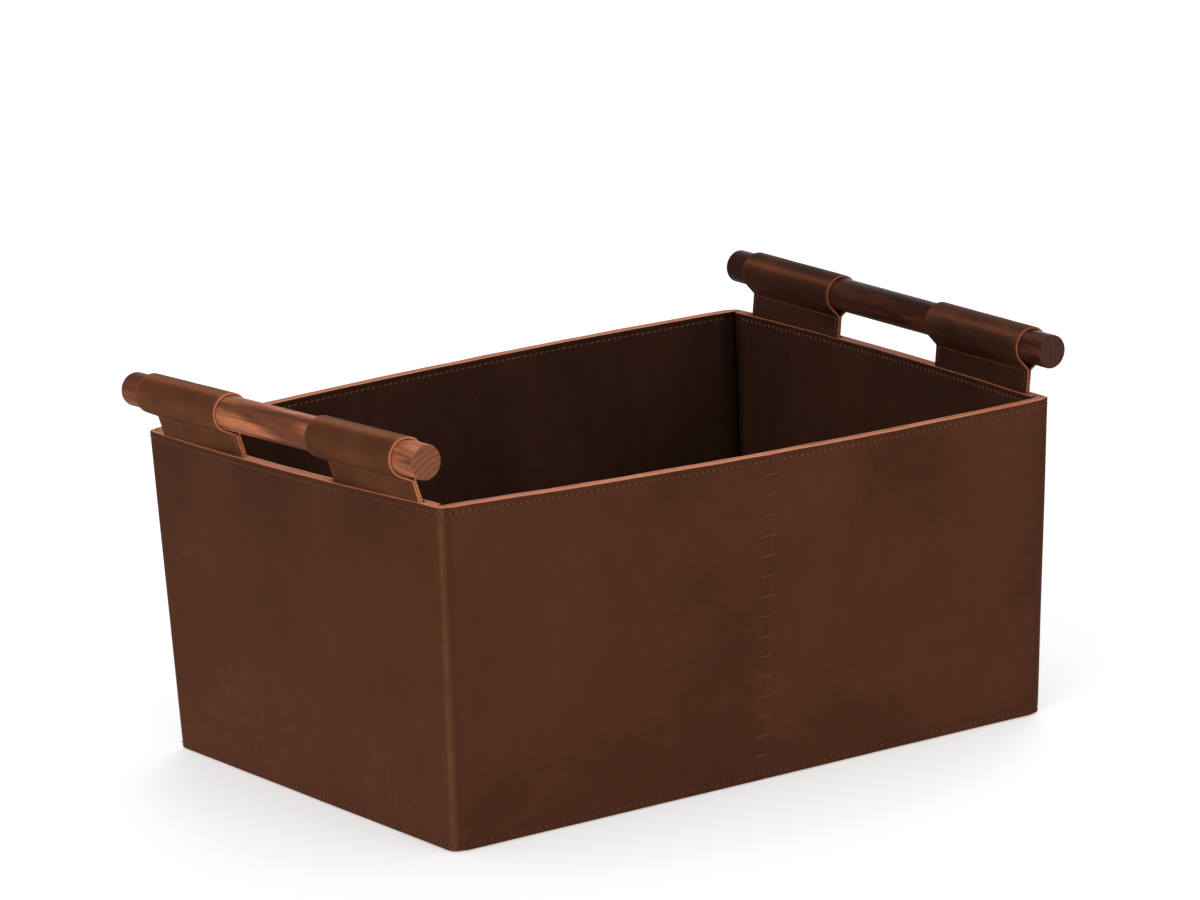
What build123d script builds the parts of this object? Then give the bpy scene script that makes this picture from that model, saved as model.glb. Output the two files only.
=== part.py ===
from build123d import *
import os
from math import asin, atan2, cos, degrees, radians, sin, sqrt, tan

# Leather storage basket: an open box with laminated walls and a wooden rod at each end,
# carried in folded leather tabs.
# The origin is at the middle of the underside, X runs along the long side, Z is up.

# Overall sizes
rim_length = 450.0
rim_width = 324.0
basket_height = 205.0
corner_radius = 9.0

# How far the foot of each end wall and of each long wall stands in from its rim
end_taper = 5.0
side_taper = 9.0

# How far the middle of each rim side stands outside the line between its corners
side_rim_bow = 12.0
end_rim_bow = 6.0

# How far the rim corners stand above and below the level rim in turn, the set of thick leather,
# and how far the rim stays level from each corner
rim_twist = 3.7
corner_flat = 18.0

# Wall layers, from the outside in
outer_leather = 2.4
core_board = 3.2
lining_leather = 2.0
glue_line = 0.2
core_below_rim = 0.3

# Base layers, from the floor up
base_leather = 2.4
base_board = 3.0
floor_lining = 2.0
flange_height = 16.0
outer_hem_lift = 0.6

# Clearances between the wall pieces
seam_offset = 12.0
seam_gap = 0.4
corner_butt_gap = 0.3
corner_groove = 2.6
floor_gap = 0.3

# Handle tabs: a strip folded round the rod, pinched under it and let into the end wall
tab_width = 90.0
grip_width = 100.0
neck_height = 12.1
pinch_gap = 3.6
pinch_fillet = 2.5
tongue_depth = 42.0
tongue_side_gap = 0.6
hinge_clearance = 0.3
left_handle_lean = 16.0
right_handle_lean = 6.0

# Rods
rod_diameter = 21.0
rod_stand_out = 20.0
rod_clearance = 0.3
rod_end_round = 1.2

# Values that follow from the sizes above
base_length = rim_length - 2 * end_taper
base_width = rim_width - 2 * side_taper
core_face = outer_leather + glue_line
core_back = core_face + core_board
lining_face = core_back + glue_line
wall_thickness = lining_face + lining_leather
floor_face = base_leather + base_board
rod_radius = rod_diameter / 2
rod_bore = rod_radius + rod_clearance
pinch_drop = rod_bore + pinch_gap
tab_reach = neck_height + pinch_drop
tab_leather = core_board / 2
tab_spacing = grip_width + tab_width
rod_length = tab_spacing + tab_width + 2 * rod_stand_out
hinge_height = basket_height + tab_leather + hinge_clearance
rim_tilt = degrees(atan2(rim_twist, rim_width / 2 - corner_flat))
rim_trim = 1.0
form_height = basket_height + rim_twist + rim_trim
beyond = 40.0
tallest = basket_height + 2 * beyond
least_radius = 1.0
corner_steps = 5


def arc_offset(half_chord, bow, distance, inset=0.0):
    """How far a bowed side, moved in by an inset, stands out from its chord at a distance from its middle."""
    if bow == 0:
        return -inset
    arc_radius = (half_chord ** 2 + bow ** 2) / (2 * bow)
    return sqrt((arc_radius - inset) ** 2 - distance ** 2) - (arc_radius - bow)


def bowed_face(length, width, end_bow, side_bow, end_inset, side_inset, radius, height):
    """Rounded rectangle with outward curved sides that are moved in, lying flat at a height."""
    x = length / 2
    y = width / 2
    crown_x = x + end_bow - end_inset
    crown_y = y + side_bow - side_inset
    # The moved sides cross at a corner that is found step by step, because each depends on the other
    for _ in range(corner_steps):
        x = length / 2 + arc_offset(width / 2, end_bow, y, end_inset)
        y = width / 2 + arc_offset(length / 2, side_bow, x, side_inset)
    corners = [(-x, -y), (x, -y), (x, y), (-x, y)]
    crowns = [(0, -crown_y), (crown_x, 0), (0, crown_y), (-crown_x, 0)]
    edges = []
    for i, crown in enumerate(crowns):
        start = corners[i]
        end = corners[(i + 1) % 4]
        bowed = (end_bow if i % 2 else side_bow) > 0
        edges.append(ThreePointArc(start, crown, end) if bowed else Line(start, end))
    face = Face(Wire(edges))
    face = fillet(face.vertices(), radius)
    return Pos(0, 0, height) * face


def wall_form(end_inset, side_inset):
    """The tapering body of the basket, a little taller than its rim, with its faces moved in."""
    radius = max(corner_radius - max(end_inset, side_inset), least_radius)
    growth = form_height / basket_height
    top_length = base_length + 2 * end_taper * growth
    top_width = base_width + 2 * side_taper * growth
    base = bowed_face(base_length, base_width, 0, 0, end_inset, side_inset, radius, 0)
    top = bowed_face(top_length, top_width, end_rim_bow * growth, side_rim_bow * growth,
                     end_inset, side_inset, radius, form_height)
    return loft([base, top], ruled=True)


def above_rim(drop):
    """Blocks over the rim, less a drop: along each wall it slopes from one level corner to the next."""
    x = rim_length / 2 - corner_flat
    y = rim_width / 2 - corner_flat
    middle = basket_height - drop
    blocks = []
    for side in (-1, 1):
        rise = side * rim_twist
        for half, plane, place in ((x, Plane.XZ, Pos(0, side * (y + beyond), 0)),
                                   (y, Plane.YZ, Pos(side * (x + beyond), 0, 0))):
            outline = Polygon((-half, middle - rise), (half, middle + rise),
                              (half, tallest), (-half, tallest), align=None)
            blocks.append(place * extrude(plane * outline, beyond, both=True))
        for end in (-1, 1):
            corner = Pos(end * (x + beyond), side * (y + beyond), middle + end * rise + beyond)
            blocks.append(corner * Box(2 * beyond, 2 * beyond, 2 * beyond))
    return blocks


def between(shape, low, high):
    """The part of a shape between two heights."""
    slab = Box(rim_length + 2 * beyond, rim_width + 2 * beyond, high - low)
    return shape & (Pos(0, 0, (low + high) / 2) * slab)


def up_to_rim(shape, low, drop=0.0):
    """The part of a shape from a height up to the rim, or to a drop below it."""
    return between(shape, low, form_height) - above_rim(drop)


def ordered(shape, axis):
    """The solids of a shape, sorted along an axis."""
    return shape.solids().sort_by(axis)


# Forms shared by the layers: the far faces lie outside the basket, so only one pair of walls cuts
outer_form = wall_form(0, 0)
outer_back = wall_form(outer_leather, outer_leather)
core_form = wall_form(core_face, core_face)
inside_side_core = wall_form(-beyond, core_back)
side_lining_room = wall_form(-beyond, lining_face)
inside_side_lining = wall_form(-beyond, wall_thickness)
inside_end_core = wall_form(core_back, -beyond)
end_lining_depth = wall_form(lining_face, -beyond)
inside_end_lining = wall_form(wall_thickness, -beyond)
end_core_room = wall_form(-beyond, wall_thickness + corner_butt_gap)
end_lining_room = wall_form(-beyond, wall_thickness + corner_groove)


def make_outer_leather():
    """Two equal halves that wrap the ends and butt on the long walls."""
    shell = up_to_rim(outer_form - outer_back, outer_hem_lift)
    for side in (-1, 1):
        cutter = Box(seam_gap, rim_width, tallest)
        shell -= Pos(-side * seam_offset, side * rim_width / 2, basket_height / 2) * cutter
    return ordered(shell, Axis.X)


def make_flange(extra):
    """The turned-up edge of the base leather inside the outer leather, made larger by extra."""
    inset = core_face + base_leather + extra
    return between(core_form - wall_form(inset, inset), 0, flange_height + extra)


def make_side_layers(flange_room):
    """Core boards and linings of the front and back walls, which run the whole length."""
    cores = up_to_rim(core_form - inside_side_core, base_leather, core_below_rim)
    cores -= flange_room
    linings = up_to_rim((core_form & side_lining_room) - inside_side_lining, base_leather)
    linings -= flange_room
    return ordered(cores, Axis.Y), ordered(linings, Axis.Y)


def tab_slot(side, end, extra):
    """Block over one tab's place in an end wall, in line with the rim, widened all round by extra."""
    height = tongue_depth + 2 * extra + rim_twist
    block = Box(2 * beyond, tab_width + 2 * extra, height)
    block = Pos(0, side * tab_spacing / 2, rim_twist + extra - height / 2) * block
    return Pos(end * rim_length / 2, 0, basket_height) * Rot(end * rim_tilt, 0, 0) * block


def make_end_layers(flange_room):
    """Core boards, linings and tab tongues of the end walls, which fit between the long walls."""
    layer = up_to_rim((core_form & end_core_room) - inside_end_core, base_leather)
    cores = layer - above_rim(core_below_rim) - flange_room
    tongues = {}
    for end, end_name in ((-1, "left"), (1, "right")):
        for side, side_name in ((-1, "front"), (1, "back")):
            tongues[f"{end_name}_{side_name}_tab_tongue"] = layer & tab_slot(side, end, 0)
            cores -= tab_slot(side, end, tongue_side_gap)
    lining = (core_form & end_lining_depth & end_lining_room) - inside_end_lining
    linings = up_to_rim(lining, base_leather)
    linings -= flange_room
    return ordered(cores, Axis.X), ordered(linings, Axis.X), tongues


def make_base(flange):
    """Base leather with its flange, the stiffening board and the floor lining."""
    leather = between(core_form, 0, base_leather) + flange
    floor_form = wall_form(wall_thickness + floor_gap, wall_thickness + floor_gap)
    board = between(floor_form, base_leather, floor_face)
    lining = between(floor_form, floor_face, floor_face + floor_lining)
    return leather, board, lining


def tab_profile():
    """Section of a folded tab: neck rounded at the hinge, loop pinched under the rod.

    The hinge axis is at the origin and the neck runs up the second axis.
    """
    skin = rod_bore + tab_leather
    half_angle = asin(rod_bore / pinch_drop)
    across = cos(half_angle)
    along = sin(half_angle)
    pinch = (0, neck_height)
    # Each straight run leaves the circle square to the radius at these points
    outer_touch = (skin * across, tab_reach - skin * along)
    bore_touch = (rod_bore * across, tab_reach - rod_bore * along)
    neck_top = outer_touch[1] - (outer_touch[0] - tab_leather) / tan(half_angle)
    outside = [
        ThreePointArc((-tab_leather, 0), (0, -tab_leather), (tab_leather, 0)),
        Line((tab_leather, 0), (tab_leather, neck_top)),
        Line((tab_leather, neck_top), outer_touch),
        ThreePointArc(outer_touch, (0, tab_reach + skin), (-outer_touch[0], outer_touch[1])),
        Line((-outer_touch[0], outer_touch[1]), (-tab_leather, neck_top)),
        Line((-tab_leather, neck_top), (-tab_leather, 0)),
    ]
    face = Face(Wire(outside))
    corners = [v for v in face.vertices() if abs(v.Y - neck_top) < 0.01]
    face = fillet(corners, pinch_fillet)
    hollow = [
        Line(pinch, bore_touch),
        ThreePointArc(bore_touch, (0, tab_reach + rod_bore), (-bore_touch[0], bore_touch[1])),
        Line((-bore_touch[0], bore_touch[1]), pinch),
    ]
    return face - Face(Wire(hollow))


def hinge_place(end):
    """Distance of a handle's hinge axis from the middle of the basket, along X."""
    stand_out = arc_offset(rim_width / 2, end_rim_bow, tab_spacing / 2)
    core_middle = core_face + core_board / 2
    return end * (rim_length / 2 + stand_out - core_middle)


def on_handle(shape, end, lean):
    """Put a shape drawn about the hinge axis in place on one end wall, leaning outward."""
    standing = Rot(end * rim_tilt, 0, 0) * Rot(0, end * lean, 0) * shape
    return Pos(hinge_place(end), 0, hinge_height) * standing


def make_handle(end, end_name, lean):
    """Two tab loops and the rod of one handle."""
    section = Plane.XZ * tab_profile()
    parts = {}
    for side, side_name in ((-1, "front"), (1, "back")):
        strip = extrude(section, tab_width / 2, both=True)
        strip = Pos(0, side * tab_spacing / 2, 0) * strip
        parts[f"{end_name}_{side_name}_tab_loop"] = on_handle(strip, end, lean)
    rod = Cylinder(rod_radius, rod_length)
    rod = fillet(rod.edges().filter_by(GeomType.CIRCLE), rod_end_round)
    rod = Pos(0, 0, tab_reach) * Rot(90, 0, 0) * rod
    parts[f"{end_name}_rod"] = on_handle(rod, end, lean)
    return parts


flange_room = make_flange(glue_line)
outer_halves = make_outer_leather()
side_cores, side_linings = make_side_layers(flange_room)
end_cores, end_linings, tongues = make_end_layers(flange_room)
base_skin, base_stiffener, floor_skin = make_base(make_flange(0))

pieces = {
    "outer_leather_left": outer_halves[0],
    "outer_leather_right": outer_halves[1],
    "front_core_board": side_cores[0],
    "back_core_board": side_cores[1],
    "left_core_board": end_cores[0],
    "right_core_board": end_cores[1],
    "front_lining": side_linings[0],
    "back_lining": side_linings[1],
    "left_lining": end_linings[0],
    "right_lining": end_linings[1],
    "base_leather": base_skin,
    "base_board": base_stiffener,
    "floor_lining": floor_skin,
}
pieces.update(tongues)
pieces.update(make_handle(-1, "left", left_handle_lean))
pieces.update(make_handle(1, "right", right_handle_lean))

os.makedirs("parts", exist_ok=True)
for name, shape in pieces.items():
    export_step(shape, f"parts/{name}.step")

for end, end_name, lean in ((-1, "left", left_handle_lean), (1, "right", right_handle_lean)):
    rod = on_handle(Pos(0, 0, tab_reach), end, lean).position
    print(f"{end_name} hinge x {hinge_place(end):.3f} z {hinge_height:.3f} tilt {end * rim_tilt:.4f} "
          f"rod x {rod.X:.3f} y {rod.Y:.3f} z {rod.Z:.3f}")
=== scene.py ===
from math import asin, atan2, ceil, cos, exp, hypot, pi, radians, sin, sqrt, tan

import bmesh
import bpy
from mathutils import Matrix, Vector, noise


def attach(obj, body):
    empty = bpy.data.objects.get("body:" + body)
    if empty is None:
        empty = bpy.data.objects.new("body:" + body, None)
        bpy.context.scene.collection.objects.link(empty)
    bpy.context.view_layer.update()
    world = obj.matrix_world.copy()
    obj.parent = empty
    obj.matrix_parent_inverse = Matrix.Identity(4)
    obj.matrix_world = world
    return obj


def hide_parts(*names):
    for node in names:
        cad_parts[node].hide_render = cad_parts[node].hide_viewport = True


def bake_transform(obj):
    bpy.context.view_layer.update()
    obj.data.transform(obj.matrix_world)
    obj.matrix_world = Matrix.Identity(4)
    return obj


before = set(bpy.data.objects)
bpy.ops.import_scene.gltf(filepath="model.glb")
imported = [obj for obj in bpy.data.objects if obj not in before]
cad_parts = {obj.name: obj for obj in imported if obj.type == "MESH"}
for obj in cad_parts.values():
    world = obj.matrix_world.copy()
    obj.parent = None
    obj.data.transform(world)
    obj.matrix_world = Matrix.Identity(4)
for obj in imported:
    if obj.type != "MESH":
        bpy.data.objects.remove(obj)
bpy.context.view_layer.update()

mm = 0.001
print("frame loaded,", len(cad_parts), "nodes")

# The basket's own form, in millimetres: a foot rectangle below and a bowed rim above
basket = {
    "length": 450.0, "width": 324.0, "height": 205.0,
    "endTaper": 5.0, "sideTaper": 9.0,      # how far the foot stands in
    "endBow": 6.0, "sideBow": 12.0,         # how far the rim bows out
    "cornerRadius": 9.0,
    "rimTwist": 3.7, "cornerFlat": 18.0,    # rise and fall of the rim corners
    "crossingAt": 4.0,                      # a ply stops at the wall measured this far from its end
    "sideEnds": 20.0, "endEnds": 24.0,      # length of a wall that belongs to each corner
}


# Where a wall is

def bowOffset(halfChord, bow, distance, inset):
    if bow < 1e-6:      # a straight wall
        return -inset
    arcRadius = (halfChord ** 2 + bow ** 2) / (2 * bow)
    return sqrt((arcRadius - inset) ** 2 - distance ** 2) - (arcRadius - bow)


def halfSizes(z):
    share = z / basket["height"]
    halfLength = basket["length"] / 2 - basket["endTaper"] * (1 - share)
    halfWidth = basket["width"] / 2 - basket["sideTaper"] * (1 - share)
    return halfLength, halfWidth, basket["endBow"] * share, basket["sideBow"] * share


def sideY(x, z, inset):     # long wall, distance from the middle
    halfLength, halfWidth, _, bow = halfSizes(z)
    return halfWidth + bowOffset(halfLength, bow, x, inset)


def endX(y, z, inset):      # end wall, distance from the middle
    halfLength, halfWidth, bow, _ = halfSizes(z)
    return halfLength + bowOffset(halfWidth, bow, y, inset)


# share runs from 0 on the long wall to 1 on the end wall
def cornerPoint(signX, signY, share, z, inset):
    x, y, _, _ = halfSizes(z)
    for _ in range(4):      # settles where the two bowed walls cross
        x = endX(y, z, 0)
        y = sideY(x, z, 0)
    along = Vector((-1, sideY(x - 1, z, 0) - y)).normalized()
    down = Vector((endX(y - 1, z, 0) - x, -1)).normalized()
    half = along.angle(down) / 2
    radius = basket["cornerRadius"]
    middle = Vector((x, y)) + (along + down).normalized() * radius / sin(half)
    first = Vector((x, y)) + along * radius / tan(half) - middle
    last = Vector((x, y)) + down * radius / tan(half) - middle
    start = atan2(first.y, first.x)
    turn = atan2(last.y, last.x) - start
    reach = max(radius - inset, 1.0)
    angle = start + turn * share
    return (signX * (middle.x + reach * cos(angle)), signY * (middle.y + reach * sin(angle)))


# A station is a place along the wall: its wall, its distance from the middle, and for a ply's own
# end the inset from the crossing wall
def wallPoint(station, z, inset):
    kind = station[0]
    if kind == "corner":
        return cornerPoint(station[1], station[2], station[3], z, inset)
    sign, along = station[1], station[2]
    if len(station) > 3:    # the ply stops at the crossing wall
        halfLength, halfWidth, _, _ = halfSizes(z)
        if kind == "side":
            along = along * endX(halfWidth - basket["crossingAt"], z, station[3])
        else:
            along = along * sideY(halfLength - basket["crossingAt"], z, station[3])
    if kind == "side":
        return (along, sign * sideY(along, z, inset))
    return (sign * endX(along, z, inset), along)


def rimHeight(x, y):
    flatX = basket["length"] / 2 - basket["cornerFlat"]
    flatY = basket["width"] / 2 - basket["cornerFlat"]
    slope = max(-1, min(1, x / flatX)) * max(-1, min(1, y / flatY))
    return basket["height"] + basket["rimTwist"] * slope


def steps(first, last, size):
    count = max(1, ceil(abs(last - first) / size))
    return [first + (last - first) * i / count for i in range(count + 1)]


def uneven(x, y, z, size, seed=0.0):    # soft waves, from -1 to 1
    return noise.noise(Vector((x / size + seed, y / size - seed, z / size + 2 * seed)))


# Meshes

# Drops points that no face uses, and turns every face outward
def cleanMesh(mesh):
    work = bmesh.new()
    work.from_mesh(mesh)
    loose = [v for v in work.verts if not v.link_faces]
    bmesh.ops.delete(work, geom=loose, context="VERTS")
    bmesh.ops.recalc_face_normals(work, faces=work.faces)
    work.to_mesh(mesh)
    work.free()


def addMesh(name, points, faces, materials, tags, values=None):
    mesh = bpy.data.meshes.new(name)
    mesh.from_pydata([(p[0] * mm, p[1] * mm, p[2] * mm) for p in points], [], faces)
    for material in materials:
        mesh.materials.append(material)
    mesh.polygons.foreach_set("material_index", tags)
    for label, numbers in (values or {}).items():
        layer = mesh.attributes.new(label, "FLOAT", "POINT")
        layer.data.foreach_set("value", numbers)
    mesh.polygons.foreach_set("use_smooth", [True] * len(faces))
    mesh.update()
    cleanMesh(mesh)
    piece = bpy.data.objects.new(name, mesh)
    bpy.context.scene.collection.objects.link(piece)
    return piece


seamShare = 0.25      # how much of the rounding a butted seam gets


# Rounds the cut edges: shares are for the grain side (slot 0) and the flesh side (slot 2)
def roundEdges(piece, width, segments=2, shares=(1.0, 1.0)):
    mesh = piece.data
    sides = {}
    for face in mesh.polygons:
        for key in face.edge_keys:
            sides.setdefault(key, set()).add(face.material_index)
    cuts = {frozenset((0, 1)): shares[0], frozenset((1, 2)): shares[1], frozenset((0, 3)): seamShare}
    weights = mesh.attributes.new("bevel_weight_edge", "FLOAT", "EDGE")
    weights.data.foreach_set("value", [cuts.get(frozenset(sides[edge.key]), 0.0) for edge in mesh.edges])
    bevel = piece.modifiers.new("rounded", "BEVEL")
    bevel.width = width * mm
    bevel.segments = segments
    bevel.limit_method = "WEIGHT"
    bevel.use_clamp_overlap = False
    return piece


# Colours are written as they look on a screen
def colour(red, green, blue):
    values = []
    for part in (red, green, blue):
        share = part / 255
        values.append(share / 12.92 if share <= 0.04045 else ((share + 0.055) / 1.055) ** 2.4)
    return (*values, 1.0)


# Shader building

def newGroup(name, inputs, outputs):
    group = bpy.data.node_groups.new(name, "ShaderNodeTree")
    for label, kind, value in inputs:
        socket = group.interface.new_socket(name=label, in_out="INPUT", socket_type="NodeSocket" + kind)
        if value is not None:
            socket.default_value = value
    for label, kind in outputs:
        group.interface.new_socket(name=label, in_out="OUTPUT", socket_type="NodeSocket" + kind)
    return group, group.nodes.new("NodeGroupInput"), group.nodes.new("NodeGroupOutput")


# links: input name or index to a value or another node's socket
def addNode(tree, kind, links=None, **settings):
    node = tree.nodes.new(kind)
    for label, value in settings.items():
        setattr(node, label, value)
    for label, value in (links or {}).items():
        if isinstance(value, bpy.types.NodeSocket):
            tree.links.new(value, node.inputs[label])
        else:
            node.inputs[label].default_value = value
    return node


def noiseOf(tree, place, scale, detail=3.0, rough=0.5, distortion=0.0):
    links = {"Vector": place, "Scale": scale, "Detail": detail, "Roughness": rough, "Distortion": distortion}
    return addNode(tree, "ShaderNodeTexNoise", links).outputs["Fac"]


def rangeOf(tree, value, low, high, toLow=0.0, toHigh=1.0):
    links = {"Value": value, "From Min": low, "From Max": high, "To Min": toLow, "To Max": toHigh}
    return addNode(tree, "ShaderNodeMapRange", links, interpolation_type="SMOOTHSTEP").outputs["Result"]


def mathOf(tree, operation, first, second):
    return addNode(tree, "ShaderNodeMath", {0: first, 1: second}, operation=operation).outputs[0]


def scaled(tree, value, factor):
    return mathOf(tree, "MULTIPLY", value, factor)


def mixOf(tree, share, first, second, blend="MIX"):
    node = addNode(tree, "ShaderNodeMix", None, data_type="RGBA", blend_type=blend)
    for label, value in (("Factor", share), ("A", first), ("B", second)):
        kind = "VALUE" if label == "Factor" else "RGBA"
        socket = [s for s in node.inputs if s.name == label and s.type == kind][0]
        if isinstance(value, bpy.types.NodeSocket):
            tree.links.new(value, socket)
        else:
            socket.default_value = value
    return [s for s in node.outputs if s.type == "RGBA"][0]


# Oiled hide: cloudy colour, fine pores, a burnished band at a cut edge that also carries painted shade, and
# wear that also carries painted highlights
def buildHideGroup():
    group, given, made = newGroup("hideSurface", [
        ("Vector", "Vector", None), ("Deep", "Color", (0, 0, 0, 1)), ("Main", "Color", (0, 0, 0, 1)),
        ("Worn And Highlight", "Color", (0, 0, 0, 1)), ("Edge And Shade Distance", "Float", 50.0), ("Wear And Highlight", "Float", 0.0),
        ("Cloud Scale", "Float", 14.0), ("Pore Scale", "Float", 900.0), ("Rough Low", "Float", 0.4),
        ("Rough High", "Float", 0.6),
    ], [("Color", "Color"), ("Roughness", "Float"), ("Height", "Float")])
    place = given.outputs["Vector"]
    cloud = noiseOf(group, place, given.outputs["Cloud Scale"], 4.0, 0.55, 0.4)
    mottle = noiseOf(group, place, 95.0, 5.0, 0.6, 0.2)
    pores = addNode(group, "ShaderNodeTexVoronoi", {"Vector": place, "Scale": given.outputs["Pore Scale"]})
    fine = noiseOf(group, place, 1500.0, 3.0, 0.6)
    broad = rangeOf(group, cloud, 0.3, 0.72, 0.0, 0.75)
    shade = mathOf(group, "ADD", broad, rangeOf(group, mottle, 0.3, 0.7, 0.0, 0.25))
    base = mixOf(group, shade, given.outputs["Deep"], given.outputs["Main"])
    pit = rangeOf(group, pores.outputs["Distance"], 0.05, 0.55, 0.84, 1.0)
    pitGrey = addNode(group, "ShaderNodeCombineColor", {0: pit, 1: pit, 2: pit}).outputs[0]
    pitted = mixOf(group, 1.0, base, pitGrey, "MULTIPLY")
    # Edge dressing darkens the hide beside a cut, and the same band paints shade in the corners' valleys and
    # on the tabs; below zero it is darkest
    band = rangeOf(group, given.outputs["Edge And Shade Distance"], -1.0, 4.2, 0.9, 0.0)
    dressedAndShaded = mixOf(group, band, pitted, given.outputs["Deep"])
    # Wear lightens the hide towards the worn colour, and the same mix paints highlights on corner ridges and
    # tab loops
    wornAndHighlighted = mathOf(group, "MULTIPLY", given.outputs["Wear And Highlight"], rangeOf(group, mottle, 0.25, 0.75, 0.55, 1.0))
    final = mixOf(group, wornAndHighlighted, dressedAndShaded, given.outputs["Worn And Highlight"])
    group.links.new(final, made.inputs["Color"])
    span = mathOf(group, "SUBTRACT", given.outputs["Rough High"], given.outputs["Rough Low"])
    polish = scaled(group, span, rangeOf(group, mottle, 0.3, 0.7))
    group.links.new(mathOf(group, "ADD", given.outputs["Rough Low"], polish), made.inputs["Roughness"])
    height = mathOf(group, "ADD", scaled(group, pores.outputs["Distance"], 0.6), scaled(group, fine, 0.55))
    height = mathOf(group, "ADD", height, scaled(group, cloud, 0.9))
    group.links.new(height, made.inputs["Height"])
    return group


# Cut leather: pale packed fibres in soft patches
def buildFibreGroup():
    group, given, made = newGroup("cutFibres", [
        ("Vector", "Vector", None), ("Dark", "Color", (0, 0, 0, 1)), ("Light", "Color", (0, 0, 0, 1)),
        ("Fibre Scale", "Float", 800.0),
    ], [("Color", "Color"), ("Roughness", "Float"), ("Height", "Float")])
    place = given.outputs["Vector"]
    fleck = noiseOf(group, place, given.outputs["Fibre Scale"], 4.0, 0.65, 0.3)
    patch = noiseOf(group, place, 60.0, 3.0, 0.5)
    flecks = rangeOf(group, fleck, 0.32, 0.68, 0.0, 0.6)
    share = mathOf(group, "ADD", flecks, rangeOf(group, patch, 0.3, 0.7, 0.0, 0.4))
    group.links.new(mixOf(group, share, given.outputs["Dark"], given.outputs["Light"]), made.inputs["Color"])
    group.links.new(rangeOf(group, fleck, 0.3, 0.7, 0.62, 0.82), made.inputs["Roughness"])
    group.links.new(fleck, made.inputs["Height"])
    return group


hideGroup = buildHideGroup()
fibreGroup = buildFibreGroup()


def newMaterial(name, roughness=0.5, specular=0.5, tint=(255, 255, 255)):
    material = bpy.data.materials.new(name)
    material.use_nodes = True
    tree = material.node_tree
    tree.nodes.clear()
    shader = tree.nodes.new("ShaderNodeBsdfPrincipled")
    shader.inputs["Roughness"].default_value = roughness
    shader.inputs["Specular IOR Level"].default_value = specular
    shader.inputs["Specular Tint"].default_value = colour(*tint)
    end = tree.nodes.new("ShaderNodeOutputMaterial")
    tree.links.new(shader.outputs[0], end.inputs["Surface"])
    return material, tree, shader


def bumpInto(tree, shader, height, strength, distance):
    bump = addNode(tree, "ShaderNodeBump", {"Height": height, "Strength": strength, "Distance": distance})
    tree.links.new(bump.outputs[0], shader.inputs["Normal"])


def objectPlace(tree, stretch=(1, 1, 1)):
    place = tree.nodes.new("ShaderNodeTexCoord").outputs["Object"]
    if stretch == (1, 1, 1):
        return place
    return addNode(tree, "ShaderNodeMapping", {"Vector": place, "Scale": stretch}).outputs[0]


def hideMaterial(name, look):
    material, tree, shader = newMaterial(name, specular=look["specular"], tint=warmShine)
    shader.inputs["IOR"].default_value = 1.2    # little shine at a low angle
    group = addNode(tree, "ShaderNodeGroup", None, node_tree=hideGroup)
    tree.links.new(objectPlace(tree, look["stretch"]), group.inputs["Vector"])
    for label, key in (("Deep", "deep"), ("Main", "main"), ("Worn And Highlight", "wornAndHighlight")):
        group.inputs[label].default_value = colour(*look[key])
    for label, key in (("Cloud Scale", "cloudScale"), ("Pore Scale", "poreScale"),
                       ("Rough Low", "roughLow"), ("Rough High", "roughHigh")):
        group.inputs[label].default_value = look[key]
    for label, attribute in (("Edge And Shade Distance", "edgeAndShadeDistance"), ("Wear And Highlight", "wearAndHighlight")):
        value = addNode(tree, "ShaderNodeAttribute", None, attribute_name=attribute).outputs["Fac"]
        tree.links.new(value, group.inputs[label])
    tree.links.new(group.outputs["Color"], shader.inputs["Base Color"])
    tree.links.new(group.outputs["Roughness"], shader.inputs["Roughness"])
    bumpInto(tree, shader, group.outputs["Height"], look["bump"], look["bumpDepth"])
    return material


def fibreMaterial(name, look):
    material, tree, shader = newMaterial(name, specular=0.12, tint=warmShine)
    group = addNode(tree, "ShaderNodeGroup", None, node_tree=fibreGroup)
    tree.links.new(objectPlace(tree, look["stretch"]), group.inputs["Vector"])
    group.inputs["Dark"].default_value = colour(*look["dark"])
    group.inputs["Light"].default_value = colour(*look["light"])
    group.inputs["Fibre Scale"].default_value = look["fibreScale"]
    tree.links.new(group.outputs["Color"], shader.inputs["Base Color"])
    tree.links.new(group.outputs["Roughness"], shader.inputs["Roughness"])
    bumpInto(tree, shader, group.outputs["Height"], 0.5, 0.0004)
    return material


warmShine = (255, 205, 175)      # waxed hide and oiled wood reflect a little warm

# Each hide's worn colour is also the colour of its painted highlights
outerHideLook = {
    "deep": (70, 41, 27), "main": (84, 50, 34), "wornAndHighlight": (110, 67, 47), "stretch": (1, 1, 1),
    "cloudScale": 9.0, "poreScale": 1100.0, "roughLow": 0.5, "roughHigh": 0.6,
    "specular": 0.03, "bump": 0.3, "bumpDepth": 0.0003,
}
liningLook = {
    "deep": (44, 27, 19), "main": (62, 38, 28), "wornAndHighlight": (90, 55, 40), "stretch": (1, 1, 0.35),
    "cloudScale": 14.0, "poreScale": 700.0, "roughLow": 0.7, "roughHigh": 0.85,
    "specular": 0.04, "bump": 0.5, "bumpDepth": 0.0004,
}
tabHideLook = {
    "deep": (76, 44, 29), "main": (108, 64, 42), "wornAndHighlight": (162, 98, 66), "stretch": (1, 0.5, 1),
    "cloudScale": 22.0, "poreScale": 1200.0, "roughLow": 0.48, "roughHigh": 0.6,
    "specular": 0.03, "bump": 0.25, "bumpDepth": 0.00025,
}
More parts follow.
